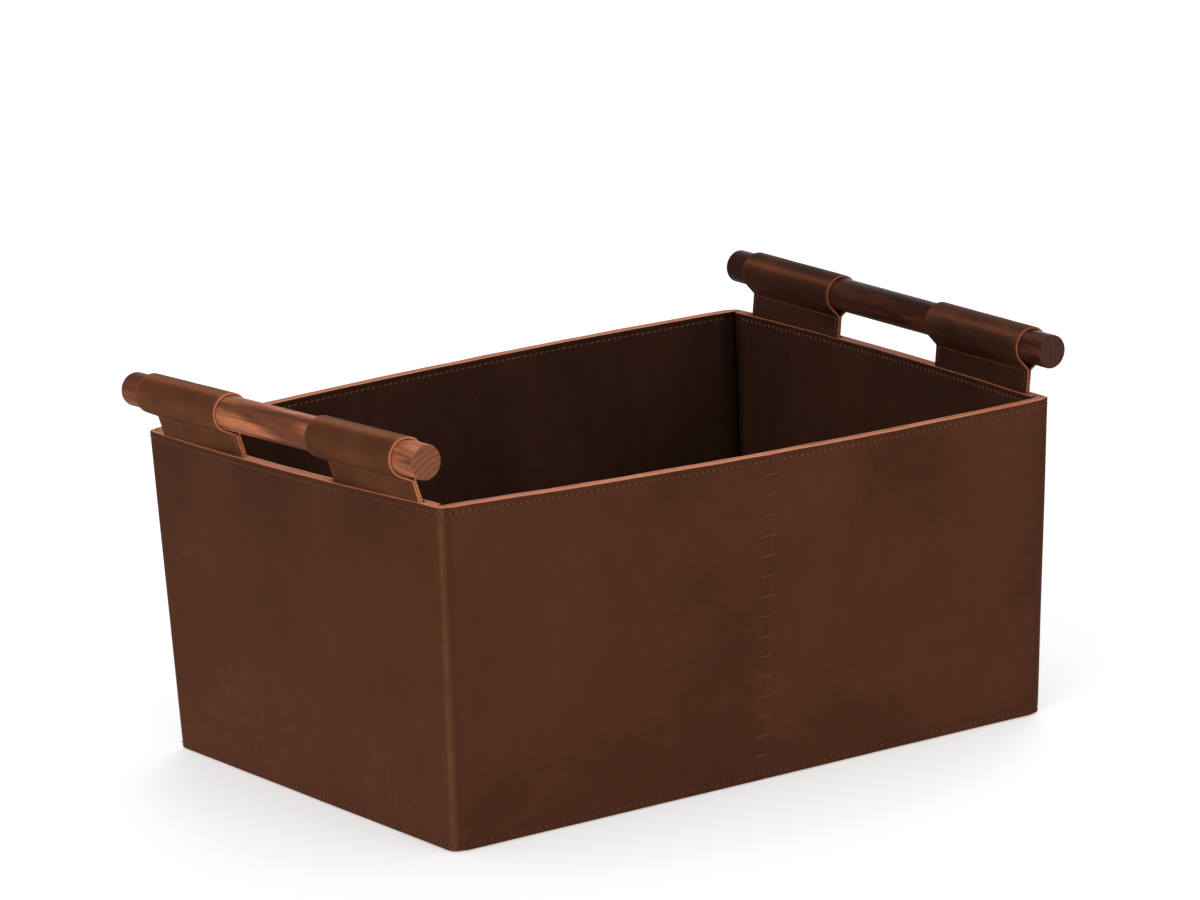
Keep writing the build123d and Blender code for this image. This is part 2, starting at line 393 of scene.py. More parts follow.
# The right handle is from a darker hide and a darker length of wood
darkTabLook = dict(tabHideLook, deep=(44, 26, 18), main=(84, 50, 35), wornAndHighlight=(122, 73, 50))
cutEdgeLook = {
    "dark": (168, 98, 68), "light": (206, 130, 94), "fibreScale": 900.0, "stretch": (0.25, 0.25, 1),
}
# A darker cut edge: on the rim of the right end wall it is painted shade from the handle, on the right tabs
# the edge of their darker hide
darkCutEdgeLook = dict(cutEdgeLook, dark=(124, 68, 46), light=(166, 96, 68), stretch=(1, 0.25, 1))
seamLook = {"dark": (54, 30, 21), "light": (80, 45, 31), "fibreScale": 800.0, "stretch": (1, 1, 1)}
boardLook = {"dark": (156, 90, 62), "light": (196, 122, 88), "fibreScale": 650.0, "stretch": (0.3, 0.3, 1)}
# Painted shade: near-black fibre on faces that only show down in the grooves of the inner corners
gapShadeLook = {"dark": (20, 12, 9), "light": (32, 19, 14), "fibreScale": 800.0, "stretch": (1, 1, 1)}

outerHide = hideMaterial("outerHide", outerHideLook)
liningHide = hideMaterial("liningHide", liningLook)
tabHides = {-1: hideMaterial("tabHide", tabHideLook), 1: hideMaterial("darkTabHide", darkTabLook)}
cutEdge = fibreMaterial("cutEdge", cutEdgeLook)
darkCutEdge = fibreMaterial("darkCutEdge", darkCutEdgeLook)
tabEdges = {-1: cutEdge, 1: darkCutEdge}
boardFibre = fibreMaterial("boardFibre", boardLook)
buttedSeam = fibreMaterial("buttedSeam", seamLook)
gapShadeFibre = fibreMaterial("gapShadeFibre", gapShadeLook)


def threadMaterial(name, dark, light):
    material, tree, shader = newMaterial(name, specular=0.2, tint=warmShine)
    place = objectPlace(tree)
    strand = noiseOf(tree, place, 700.0, 2.0, 0.6)
    tone = mixOf(tree, rangeOf(tree, strand, 0.3, 0.7), colour(*dark), colour(*light))
    tree.links.new(tone, shader.inputs["Base Color"])
    tree.links.new(rangeOf(tree, strand, 0.2, 0.8, 0.45, 0.65), shader.inputs["Roughness"])
    bumpInto(tree, shader, noiseOf(tree, place, 2600.0, 2.0), 0.4, 0.0001)
    return material


waxedThread = threadMaterial("waxedThread", (90, 54, 39), (122, 75, 55))
seamThread = threadMaterial("seamThread", (84, 49, 35), (108, 65, 46))
tabThread = threadMaterial("tabThread", (104, 62, 44), (140, 86, 62))
holeShade = threadMaterial("holeShade", (22, 12, 8), (36, 20, 14))    # painted shade: the dark inside of a hole


# Oiled walnut: long dark streaks, pores drawn out along the rod, rings on the sawn ends
def walnutMaterial(name, look):
    material, tree, shader = newMaterial(name, specular=look["specular"], tint=warmShine)
    shader.inputs["IOR"].default_value = 1.25
    coords = tree.nodes.new("ShaderNodeTexCoord")
    place = coords.outputs["Object"]
    along = addNode(tree, "ShaderNodeMapping", {"Vector": place, "Scale": (1, 0.06, 1)}).outputs[0]
    finer = addNode(tree, "ShaderNodeMapping", {"Vector": place, "Scale": (1, 0.02, 1)}).outputs[0]
    streak = noiseOf(tree, along, look["streakScale"], 5.0, 0.62, 0.5)
    figure = noiseOf(tree, along, look["figureScale"], 3.0, 0.5, 1.2)
    poreLines = noiseOf(tree, finer, look["poreScale"], 3.0, 0.6)
    tone = mixOf(tree, rangeOf(tree, streak, 0.32, 0.66), colour(*look["deep"]), colour(*look["main"]))
    tone = mixOf(tree, rangeOf(tree, figure, 0.45, 0.68, 0.0, 0.8), tone, colour(*look["streak"]))
    tone = mixOf(tree, rangeOf(tree, poreLines, 0.56, 0.66, 0.0, 0.5), tone, colour(*look["pore"]))
    # Darker towards the back end
    backEnd = addNode(tree, "ShaderNodeSeparateXYZ", {0: place}).outputs["Y"]
    backDarkening = rangeOf(tree, backEnd, *look["darkerFrom"], 0.0, 0.6)
    tone = mixOf(tree, backDarkening, tone, colour(*look["streak"]))
    # The sawn end shows rings round a heart that lies outside the rod
    shift = {"Vector": place, "Location": look["heartShift"], "Scale": (1, 0, 1)}
    ringPlace = addNode(tree, "ShaderNodeMapping", shift).outputs[0]
    waves = {"Vector": ringPlace, "Scale": look["ringScale"], "Distortion": 4.0, "Detail": 3.0,
             "Detail Scale": 1.1, "Detail Roughness": 0.5}
    rings = addNode(tree, "ShaderNodeTexWave", waves, wave_type="RINGS", rings_direction="Y").outputs["Fac"]
    speck = noiseOf(tree, place, 900.0, 3.0, 0.6)
    sawn = mixOf(tree, rangeOf(tree, rings, 0.0, 0.6), colour(*look["ringDeep"]), colour(*look["ringMain"]))
    sawn = mixOf(tree, rangeOf(tree, speck, 0.5, 0.75, 0.0, 0.25), sawn, colour(*look["streak"]))
    facing = addNode(tree, "ShaderNodeSeparateXYZ", {0: coords.outputs["Normal"]}).outputs["Y"]
    facing = addNode(tree, "ShaderNodeMath", {0: facing}, operation="ABSOLUTE").outputs[0]
    endMask = rangeOf(tree, facing, 0.72, 0.9)
    tree.links.new(mixOf(tree, endMask, tone, sawn), shader.inputs["Base Color"])
    rough = mathOf(tree, "ADD", rangeOf(tree, streak, 0.3, 0.7, 0.46, 0.36), scaled(tree, endMask, 0.25))
    tree.links.new(rough, shader.inputs["Roughness"])
    relief = mathOf(tree, "ADD", scaled(tree, poreLines, -0.8), scaled(tree, streak, 0.5))
    bumpInto(tree, shader, relief, 0.35, 0.0003)
    return material


walnutLook = {
    "deep": (116, 67, 46), "main": (192, 117, 80), "streak": (76, 43, 30), "pore": (66, 36, 25),
    "ringDeep": (112, 68, 50), "ringMain": (132, 82, 60), "specular": 0.03,
    "streakScale": 230.0, "figureScale": 55.0, "poreScale": 1600.0, "ringScale": 88.0,
    "darkerFrom": (0.118, 0.142), "heartShift": (0.216, 0, -0.205),
}
darkWalnutLook = dict(
    walnutLook, deep=(38, 21, 15), main=(84, 46, 33), streak=(34, 19, 14), pore=(26, 15, 11),
    ringDeep=(66, 43, 36), ringMain=(74, 49, 41), specular=0.04,
)
walnut = walnutMaterial("oiledWalnut", walnutLook)
darkWalnut = walnutMaterial("darkWalnut", darkWalnutLook)
print("materials ready")

# Plies, the layers of the wall
ply = {
    "outer": (0.0, 2.46), "core": (2.46, 5.96), "lining": (5.96, 8.0),   # insets of the two faces
    "hemLift": 0.6, "lowerEdge": 2.4,       # height of the lower edges of the outer leather and the rest
    "columnStep": 9.0, "cornerSteps": 8,
    "rimRows": 28.0, "footRows": 24.0, "middleRows": 15,    # bands of closer rows, and the rows between
    "wave": 0.28, "waveSize": 62.0,         # how uneven the hide lies
    "edgeWave": 0.25, "edgeWaveSize": 23.0,                 # how uneven the cut rim is
    "footLightening": 0.36,                        # end walls are lighter towards the foot
    "edgeRound": 0.55, "innerRound": 0.15,  # of the visible edges, and the share of it where plies meet
}
stitch = {
    "pitch": 4.3, "long": 2.7, "thick": 0.6, "rise": 0.5, "endRise": 1.5, "proud": 0.12,
    "rowDrop": 3.8, "baseRow": 3.8,         # the rows under the rim and over the lower edge
    "groove": 0.28, "grooveWidth": 0.85, "hole": 0.7, "holeLift": 0.14,
    "stray": 0.12, "turn": 0.25, "insideReach": 8.0,
}
corner = {      # places and widths are shares of the way round, from the long wall to the end wall
    "ridge": 0.6, "ridgeAt": 0.62, "ridgeWidth": 0.15,
    # along the valley the hide is darkened as painted shade, fading by valleyFade
    "valley": 0.8, "valleyAt": 0.24, "valleyWidth": 0.15, "valleyFade": 16.0,
    # along the ridge the hide is lightened as painted highlight
    "rubAndHighlight": 0.6, "highlightWidth": 0.13,
}
seam = {
    "offset": 2.0, "gap": 0.1, "count": 15, "first": 16.0, "pitch": 12.6, "long": 11.0, "thick": 0.75,
    "proud": 0.06, "holeLift": 0.06, "turn": 0.12, "spread": 0.08,
}
# Where each inner layer stops before the crossing wall, and its own uneven seed on each kind of wall
layers = {
    "core": {
        "slot": "core_board", "node": "_core_board", "drop": 0.1, "grooves": (False, False),
        "sideStop": 3.2, "endStop": 8.4, "sideSeed": 1.0, "endSeed": 1.0,
    },
    "lining": {
        "slot": "lining_leather", "node": "_lining", "drop": 0.0, "grooves": (False, True),
        "sideStop": 3.4, "endStop": 10.6, "sideSeed": 3.0, "endSeed": 4.0,
    },
}
plainDistance = 50.0    # a distance at which neither edge dressing nor painted shade darkens anything


# Rows down a ply: close together beside each stitch row and cut edge
def rowPlan(drop):
    besideRow = [-1.1, -0.5, 0.0, 0.5, 1.1]
    near = [0.0, 0.9, 1.9] + [stitch["rowDrop"] + d for d in besideRow] + [7.0, 11.0, 18.0, ply["rimRows"]]
    foot = [ply["footRows"], 14.0, 8.0] + [stitch["baseRow"] - d for d in besideRow] + [1.7, 0.8, 0.0]
    plan = [("top", d - drop if d > 0 else 0.0) for d in near]
    plan += [("middle", i / ply["middleRows"]) for i in range(1, ply["middleRows"])]
    return plan + [("foot", d) for d in foot]


def rowHeight(row, top, bottom):
    kind, value = row
    if kind == "top":
        return top - value
    if kind == "foot":
        return bottom + value
    return (top - ply["rimRows"]) * (1 - value) + (bottom + ply["footRows"]) * value


def grooveDepth(distance):
    return stitch["groove"] * exp(-(distance / stitch["grooveWidth"]) ** 2)


def wallWave(x, y, z):
    return ply["wave"] * uneven(x, y, z, ply["waveSize"], 1.0)


# How far a corner of the outer leather stands out, and how much painted highlight its ridge gets
def cornerForm(station):
    if station[0] != "corner":
        return 0.0, 0.0
    fromRidge = station[3] - corner["ridgeAt"]
    fromValley = station[3] - corner["valleyAt"]
    stand = corner["ridge"] * exp(-(fromRidge / corner["ridgeWidth"]) ** 2)
    stand -= corner["valley"] * exp(-(fromValley / corner["valleyWidth"]) ** 2)
    return stand, corner["rubAndHighlight"] * exp(-(fromRidge / corner["highlightWidth"]) ** 2)


# How near a place is to a cut edge, whose dressing darkens the hide, or to a corner's valley, which is
# darkened as painted shade; the hide material reads it
def darkening(station, depth):
    line = plainDistance
    if station[0] == "corner":
        # painted shade along the corner's valley, below zero at its middle
        line = abs(station[3] - corner["valleyAt"]) * corner["valleyFade"] - 1
    return min(max(1.6, depth), line)


def endShare(station):      # 1 on an end wall, 0 on a long wall
    if station[0] == "corner":
        return station[3]
    return 1.0 if station[0] == "end" else 0.0


# A standing sheet along the stations. skip(first, last, row) leaves a cell out, as for a notch
def makePly(name, stations, faceInsets, bottom, drop, materials, seed, grooves=(True, False), skip=None,
            shares=(1.0, 1.0)):
    rows = rowPlan(drop)
    count = len(stations)
    outside, inside, values = [], [], {"edgeAndShadeDistance": [], "wearAndHighlight": []}
    for station in stations:
        x, y = wallPoint(station, basket["height"], faceInsets[0])
        top = rimHeight(x, y) - drop + ply["edgeWave"] * uneven(x, y, 0, ply["edgeWaveSize"], seed)
        ridge, rubAndHighlight = cornerForm(station) if faceInsets[0] == 0.0 else (0.0, 0.0)
        for row in rows:
            z = rowHeight(row, top, bottom)
            lift = wallWave(x, y, z)
            dip = grooveDepth(top + drop - z - stitch["rowDrop"])
            dip += grooveDepth(z - bottom - stitch["baseRow"])
            outer = faceInsets[0] - lift - ridge + (dip if grooves[0] else 0)
            inner = faceInsets[1] - lift - (dip if grooves[1] else 0)
            outside.append((*wallPoint(station, z, outer), z))
            inside.append((*wallPoint(station, z, inner), z))
            values["edgeAndShadeDistance"].append(darkening(station, top - z))
            # wear and painted highlight: the highlight on a corner ridge, and end walls lighter towards the
            # foot
            values["wearAndHighlight"].append(rubAndHighlight + ply["footLightening"] * endShare(station) * (1 - z / basket["height"]))
    deep = len(rows)
    total = count * deep
    endTag = 3 if len(materials) > 3 else 1
    faces, tags = [], []
    live = set()
    for c in range(count - 1):
        for r in range(deep - 1):
            if not (skip and skip(stations[c], stations[c + 1], rows[r])):
                live.add((c, r))
    for c, r in sorted(live):
        a, b = c * deep + r, (c + 1) * deep + r
        faces.append((a, b, b + 1, a + 1))
        tags.append(0)
        faces.append((total + a, total + a + 1, total + b + 1, total + b))
        tags.append(2)
        for other, first, last, tag in (((c, r - 1), b, a, 1), ((c, r + 1), a + 1, b + 1, 1),
                                        ((c - 1, r), a, a + 1, endTag), ((c + 1, r), b + 1, b, endTag)):
            if other not in live:
                faces.append((first, last, total + last, total + first))
                tags.append(tag)
    values = {label: numbers * 2 for label, numbers in values.items()}
    piece = addMesh(name, outside + inside, faces, materials, tags, values)
    return roundEdges(piece, ply["edgeRound"], 3, shares)


# A closed sheet from two grids of points, one behind the other, whose rows are wide points long
def sheetFaces(wide, rows, backTag=2):
    total = wide * rows
    faces, tags = [], []
    for r in range(rows - 1):
        for c in range(wide - 1):
            a = r * wide + c
            faces.append((a, a + 1, a + wide + 1, a + wide))
            faces.append((total + a, total + a + wide, total + a + wide + 1, total + a + 1))
            tags += [0, backTag]
    rim = [(r * wide + c, (r + 1) * wide + c) for r in range(rows - 1) for c in (0, wide - 1)]
    rim += [(r * wide + c, r * wide + c + 1) for r in (0, rows - 1) for c in range(wide - 1)]
    for a, b in rim:
        faces.append((a, b, total + b, total + a))
        tags.append(1)
    return faces, tags


def sideRun(sign, first, last):
    return [("side", sign, x) for x in steps(first, last, ply["columnStep"])]


def endRun(sign, first, last):
    return [("end", sign, y) for y in steps(first, last, ply["columnStep"])]


def cornerRun(signX, signY, reverse):
    shares = [i / ply["cornerSteps"] for i in range(ply["cornerSteps"] + 1)]
    return [("corner", signX, signY, s) for s in (reversed(shares) if reverse else shares)]


straightX = basket["length"] / 2 - basket["sideEnds"]
straightY = basket["width"] / 2 - basket["endEnds"]


def dress(piece, nodes=(), body="basket"):
    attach(piece, body)
    if nodes:
        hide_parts(*nodes)
    return piece


# From the seam on one long wall, round an end, to the seam on the other
def outerHalf(name, end, seed, node):
    frontStart = seam["offset"] + end * seam["gap"] / 2
    backStart = -seam["offset"] + end * seam["gap"] / 2
    stations = sideRun(-1, frontStart, end * straightX)
    stations += cornerRun(end, -1, False)
    stations += endRun(end, -straightY, straightY)
    stations += cornerRun(end, 1, True)
    stations += sideRun(1, end * straightX, backStart)
    piece = makePly(name, stations, ply["outer"], ply["hemLift"], 0.0,
                    (outerHide, cutEdge, liningHide, buttedSeam), seed, shares=(1.0, ply["innerRound"]))
    return dress(piece, [node])


outerHalf("outerLeatherLeft", -1, 1.0, "outer_leather_left")
outerHalf("outerLeatherRight", 1, 1.0, "outer_leather_right")

tab = {
    "width": 90.0, "spacing": 190.0, "leather": 1.5, "sheetGap": 0.08, "tongue": 38.0, "slotGap": 0.6,
    "neck": 12.1, "rodRadius": 10.5, "clearance": 0.3, "pinchGap": 3.6, "pinchRound": 2.2,
    "edgeRound": 0.35, "edgeWave": 0.25, "puff": 0.12,
    "lean": {-1: 16.0, 1: 6.0},             # of each handle, in degrees
    "hingeAt": 224.739, "hingeHeight": 206.9,
    "hingeBelow": 3.0, "hingeAbove": 4.0,   # a stretch below and above the hinge
    "leanWithin": 2.5,                      # the lean sets in over this much on either side of the hinge
    # Heights over the hinge of a painted shade band and a painted highlight band round the loop, and how wide
    # the bands are
    "shadeBandAt": {-1: 35.5, 1: 25.0}, "shadeBandWidth": 4.5,
    "highlightAt": {-1: 38.2, 1: 33.0}, "highlightWidth": {-1: 0.5, 1: 1.7}, "rubAndHighlight": 0.6,
    "edgeRub": 0.35, "edgeRubWidth": 1.4,
}
tabStitch = {
    "thick": 0.5, "proud": 0.08,
    "row": {"long": 2.5, "pitch": 3.7, "fromSide": 4.5, "underNeck": 1.2, "sunk": 0.04},
    "side": {"long": 1.7, "pitch": 2.5, "first": 2.2, "count": 4, "fromSide": 2.6, "sunk": 0.06},
}


def layPly(label, layer, stations, materials, seed, skip=None):
    facts = layers[layer]
    shares = (ply["innerRound"], 1.0 if layer == "lining" else ply["innerRound"])
    piece = makePly(label + layer.capitalize(), stations, ply[layer], ply["lowerEdge"], facts["drop"],
                    materials, seed, facts["grooves"], skip, shares)
    return dress(piece, [label + facts["node"]])


def sidePly(label, sign, layer, materials):
    stop = layers[layer]["sideStop"]
    stations = [("side", sign, -1, stop)] + sideRun(sign, -straightX, straightX) + [("side", sign, 1, stop)]
    return layPly(label, layer, stations, materials, layers[layer]["sideSeed"])


# The place of a tab's tongue in an end core board
def inNotch(first, last, row):
    if row[0] != "top" or len(first) > 3 or len(last) > 3:
        return False
    middle = abs((first[2] + last[2]) / 2)
    return abs(middle - tab["spacing"] / 2) < tab["width"] / 2 + tab["slotGap"]


def endPly(label, sign, layer, materials, skip=None):
    half = tab["width"] / 2 + tab["slotGap"]
    inner, outer = tab["spacing"] / 2 - half, tab["spacing"] / 2 + half
    marks = [-outer, -inner, inner, outer]
    places = []
    for first, last in zip(marks, marks[1:]):
        places += steps(first, last, ply["columnStep"])[:-1]
    places.append(outer)
    stop = layers[layer]["endStop"]
    stations = [("end", sign, -1, stop)] + [("end", sign, y) for y in places] + [("end", sign, 1, stop)]
    return layPly(label, layer, stations, materials, layers[layer]["endSeed"], skip)


# The core's inner face and the lining's ends take the near-black fibre as painted shade in the inner-corner
# grooves
boardFaces = (boardFibre, boardFibre, gapShadeFibre)
# on the right end the core's rim takes the darker cut edge as painted shade from the handle
darkBoardFaces = (darkCutEdge, darkCutEdge, gapShadeFibre)
liningFaces = (liningHide, cutEdge, liningHide, gapShadeFibre)
darkLiningFaces = (liningHide, darkCutEdge, liningHide, gapShadeFibre)      # over the right end, where the darker cut edge paints the handle's shade on the rim
for sign, label in ((-1, "front"), (1, "back")):
    sidePly(label, sign, "core", boardFaces)
    sidePly(label, sign, "lining", liningFaces)
for sign, label in ((-1, "left"), (1, "right")):
    endPly(label, sign, "core", boardFaces if sign < 0 else darkBoardFaces, inNotch)
    endPly(label, sign, "lining", liningFaces if sign < 0 else darkLiningFaces)
print("walls laid up")


# Stitches

# Each stitch is (middle, along, outward, length), and a place for its hole where that isn't at its end.
# The thread dives in at both ends
def stitchMesh(name, stitches, thick, proud, materials, holeLift=None):
    points, faces, tags = [], [], []
    sides, holeSides = 6, 8
    # Along the thread: its share of the length, its height and its thickness
    half = [(0.5, -1.0, 0.55), (0.36, 0.35, 0.95)]
    profile = [(-share, lift, size) for share, lift, size in half] + [(0.0, 1.0, 1.0)] + half[::-1]
    for middle, along, outward, length, *holeAt in stitches:
        across = along.cross(outward)
        first = len(points)
        for share, lift, size in profile:
            core = middle + along * share * length + outward * (lift * proud)
            for k in range(sides):
                angle = 2 * pi * k / sides
                reach = thick / 2 * size
                points.append(core + across * reach * cos(angle) + outward * reach * 0.8 * sin(angle))
        for ring in range(len(profile) - 1):
            for k in range(sides):
                a = first + ring * sides + k
                b = first + ring * sides + (k + 1) % sides
                faces.append((a, b, b + sides, a + sides))
                tags.append(0)
        faces.append(tuple(first + k for k in range(sides))[::-1])
        faces.append(tuple(first + (len(profile) - 1) * sides + k for k in range(sides)))
        tags += [0, 0]
        if holeLift is None:
            continue
        # A punched hole, a shallow dimple with a drawn-in rim at the leading end, coloured dark as painted
        # shade
        centre = holeAt[0] if holeAt else middle + along * length * 0.56
        start = len(points)
        for reach, depth in ((1.0, -0.25), (0.8, holeLift), (0.0, holeLift - 0.04)):
            for k in range(holeSides if reach else 1):
                angle = 2 * pi * k / holeSides
                size = stitch["hole"] * reach
                sideways = along * size * cos(angle) * 0.8 + across * size * sin(angle)
                points.append(centre + sideways + outward * depth)
        for k in range(holeSides):
            n = (k + 1) % holeSides
            faces.append((start + k, start + n, start + holeSides + n, start + holeSides + k))
            faces.append((start + holeSides + k, start + holeSides + n, start + 2 * holeSides))
            tags += [1, 1]
        faces.append(tuple(start + k for k in range(holeSides))[::-1])
        tags.append(1)
    return addMesh(name, points, faces, materials, tags)


# Evenly spaced (place, along, outward) in the stitch groove on a ply, at its rim or its foot
def alongWall(stations, layer, fromFoot=False):
    facing = 1 if layer == "lining" else 0

    def at(station, shift=0.0):
        x, y = wallPoint(station, basket["height"], ply[layer][0])
        z = ply["hemLift"] + stitch["baseRow"] if fromFoot else rimHeight(x, y) - stitch["rowDrop"]
        depth = stitch["groove"] if layer == "outer" else -stitch["groove"]
        stand = cornerForm(station)[0] if layer == "outer" else 0.0
        inset = ply[layer][facing] - wallWave(x, y, z) - stand + depth + shift
        return Vector((*wallPoint(station, z, inset), z))
    line = [(at(s), at(s, -1.0) - at(s, 1.0)) for s in stations]
    found, travelled, due = [], 0.0, stitch["pitch"] / 2
    for (p, n), (q, m) in zip(line, line[1:]):
        length = (q - p).length
        while length > 0 and due <= travelled + length:
            share = (due - travelled) / length
            outward = (n.lerp(m, share)).normalized()
            found.append((p.lerp(q, share), (q - p).normalized(), outward))
            due += stitch["pitch"]
        travelled += length
    return found


# Each stitch leans by the rise and strays a little, and its hole keeps to the row
def slanted(found, rise, seed, inward=False):
    stitches = []
    up = Vector((0, 0, 1))
    for i, (place, along, outward) in enumerate(found):
        if inward:
            outward = -outward
        stray = stitch["stray"] * uneven(i * 7.3, seed, 0, 1.7)
        slope = rise + stitch["turn"] * uneven(i * 3.1, 0, seed, 1.3)
        direction = (along + up * slope).normalized()
        outward = (outward - direction * outward.dot(direction)).normalized()
        length = stitch["long"] * (1 + 0.6 * stray)
        stitches.append((place + up * stray, direction, outward, length, place + along * stitch["pitch"] / 2))
    return stitches


def fullLoop():
    front = sideRun(-1, -straightX, straightX)
    right = endRun(1, -straightY, straightY)
    back = sideRun(1, straightX, -straightX)
    left = endRun(-1, straightY, -straightY)
    loop = front + cornerRun(1, -1, False) + right + cornerRun(1, 1, True)
    loop += back + cornerRun(-1, 1, False) + left + cornerRun(-1, -1, True)
    return loop + [front[0]]


waxed = (waxedThread, holeShade)
plain = (seamThread, holeShade)
thick, proud, holeLift = stitch["thick"], stitch["proud"], stitch["holeLift"]

rimOutside = slanted(alongWall(fullLoop(), "outer"), stitch["rise"], 0.0)
dress(stitchMesh("rimStitchesOutside", rimOutside, thick, proud, waxed, holeLift))
footOutside = slanted(alongWall(fullLoop(), "outer", True), stitch["rise"], 5.0)
dress(stitchMesh("footStitches", footOutside, thick * 0.9, proud * 0.7, plain, holeLift))

insideStitches = []
reachX, reachY = straightX + stitch["insideReach"], straightY + stitch["insideReach"]
for sign in (-1, 1):
    run = sideRun(sign, -reachX, reachX)
    insideStitches += slanted(alongWall(run, "lining"), stitch["rise"], 9.0 + sign, True)
    run = endRun(sign, -reachY, reachY)
    insideStitches += slanted(alongWall(run, "lining"), stitch["endRise"], 13.0 + sign, True)
dress(stitchMesh("rimStitchesInside", insideStitches, thick * 1.3, proud, waxed, holeLift))


def seamStitches(sign):
    x = -sign * seam["offset"]
    rimY = sideY(x, basket["height"], 0.0)
    outward = Vector((0, sign, 0))
    stitches = []
    for i in range(seam["count"]):
        z = seam["first"] + i * seam["pitch"]
        middle = Vector((x, sign * sideY(x, z, -wallWave(x, sign * rimY, z)), z))
        along = Vector((1, 0, seam["turn"] * uneven(i * 5.1, sign, 0, 1.9))).normalized()
        length = seam["long"] * (1 + seam["spread"] * uneven(i, 3, sign, 1.3))
        stitches.append((middle, along, outward, length))
    return stitches


for sign, label in ((-1, "front"), (1, "back")):
    made = stitchMesh(label + "SeamStitches", seamStitches(sign), seam["thick"], seam["proud"], plain,
                      seam["holeLift"])
    dress(made)
print("stitches set,", len(rimOutside) + len(footOutside) + len(insideStitches), "round the walls")


# Folded tabs

# Middle line of the strip, as (across, up) from the hinge: up one sheet, round the rod, down the other
def tabPath():
    sheet = tab["leather"] / 2 + tab["sheetGap"] / 2
    bore = tab["rodRadius"] + tab["clearance"]
    ring = bore + tab["leather"] / 2
    drop = bore + tab["pinchGap"]
    reach = tab["neck"] + drop
    half = asin(bore / drop)
    touch = (ring * cos(half), reach - ring * sin(half))
    bendUp = touch[1] - (touch[0] - sheet) / tan(half)
    cutBack = tab["pinchRound"] * tan(half / 2)
    straight = (-tab["tongue"], -30, -22, -14, -9, -6, -4, -2.5, -1.2, 0, 1.2, 2.5, 4, 6, 8)
    path = [(sheet, v) for v in straight if v < bendUp - cutBack - 0.5]
    centre = (sheet + tab["pinchRound"], bendUp - cutBack)
    for i in range(7):      # out under the rod
        turn = half * i / 6
        path.append((centre[0] - tab["pinchRound"] * cos(turn), centre[1] + tab["pinchRound"] * sin(turn)))
    path.append(((path[-1][0] + touch[0]) / 2, (path[-1][1] + touch[1]) / 2))
    for i in range(25):     # round the rod to its top
        angle = -half + (pi / 2 + half) * i / 24
        path.append((ring * cos(angle), reach + ring * sin(angle)))
    return path + [(-u, v) for u, v in reversed(path[:-1])]


# Origin, along, outward and up of a handle, with its lean
def handleFrame(end):
    tilt = end * atan2(basket["rimTwist"], basket["width"] / 2 - basket["cornerFlat"])
    along = Vector((0, cos(tilt), sin(tilt)))
    up = Vector((0, -sin(tilt), cos(tilt)))
    out = Vector((end, 0, 0))
    origin = Vector((end * tab["hingeAt"], 0, tab["hingeHeight"]))
    return origin, along, out, up, radians(tab["lean"][end])


# The edge-and-shade distance and the wear-and-highlight that the hide reads at a height and a distance from
# the strip's side
def tabLook(end, u, v, fromSide):
    onNeck = v < tab["neck"]
    shadeBand = shaded = plainDistance
    if v > tab["neck"]:
        # painted shade: a dark band round the loop
        shadeBand = 1.2 + 3.0 * (1 - exp(-((v - tab["shadeBandAt"][end]) / tab["shadeBandWidth"]) ** 2))
    if u < 0 and onNeck:        # painted shade on the inner sheet of the neck
        shaded = 1.2
    # painted highlight: a light band round the loop, and wear that lightens the hide beside its sides
    rubAndHighlight = tab["rubAndHighlight"] * exp(-((v - tab["highlightAt"][end]) / tab["highlightWidth"][end]) ** 2)
    if v > tab["neck"]:
        rubAndHighlight += tab["edgeRub"] * exp(-(fromSide / tab["edgeRubWidth"]) ** 2)
    return min(fromSide + 1.4, shadeBand, shaded), rubAndHighlight


def makeTab(end, side, name, nodes):
    origin, along, out, up, lean = handleFrame(end)
    path = tabPath()
    wallLean = atan2(basket["endTaper"] + basket["endBow"] * 0.65, basket["height"])

    def place(u, v, s):
        # Below the hinge the strip stands with the wall, above it leans with the handle
        share = max(0.0, min(1.0, 0.5 + v / (2 * tab["leanWithin"])))
        share = share * share * (3 - 2 * share)
        angle = wallLean + (lean - wallLean) * share
        upward = up * cos(angle) + out * sin(angle)
        across = out * cos(angle) - up * sin(angle)
        return origin + along * s + across * u + upward * v
    normals = []
    for i in range(len(path)):
        a = path[max(0, i - 1)]
        b = path[min(len(path) - 1, i + 1)]
        size = hypot(b[0] - a[0], b[1] - a[1])
        normals.append(((b[1] - a[1]) / size, -(b[0] - a[0]) / size))
    middle = side * tab["spacing"] / 2
    halfWidth, half = tab["width"] / 2, tab["leather"] / 2
    fromSides = [0, 0.8, 2, 5, 10]      # closer columns beside the cut sides
    columns = [d - halfWidth for d in fromSides] + [-28 + 8 * i for i in range(8)]
    columns += [halfWidth - d for d in reversed(fromSides)]
    points, values = [], {"edgeAndShadeDistance": [], "wearAndHighlight": []}
    for face in (1, -1):
        for i, (u, v) in enumerate(path):
            nu, nv = normals[i]
            for c in columns:
                stray = tab["edgeWave"] * uneven(i * 0.7, c, side * 9 + end, 9.0)
                puff = tab["puff"] * uneven(u, c, v, 14.0, end + side * 0.3)
                reach = half * face + (puff if v > tab["neck"] - 2 else 0)
                s = middle + c + stray * (abs(c) / halfWidth) ** 4
                points.append(place(u + nu * reach, v + nv * reach, s))
                distance, wearAndHighlight = tabLook(end, u, v, halfWidth - abs(c))
                values["edgeAndShadeDistance"].append(distance)
                values["wearAndHighlight"].append(wearAndHighlight)
    faces, tags = sheetFaces(len(columns), len(path))
    piece = addMesh(name, points, faces, (tabHides[end], tabEdges[end], liningHide), tags, values)
    roundEdges(piece, tab["edgeRound"], 2)
    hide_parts(*nodes)
    bendTab(piece)


def bendTab(piece):
    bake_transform(piece)


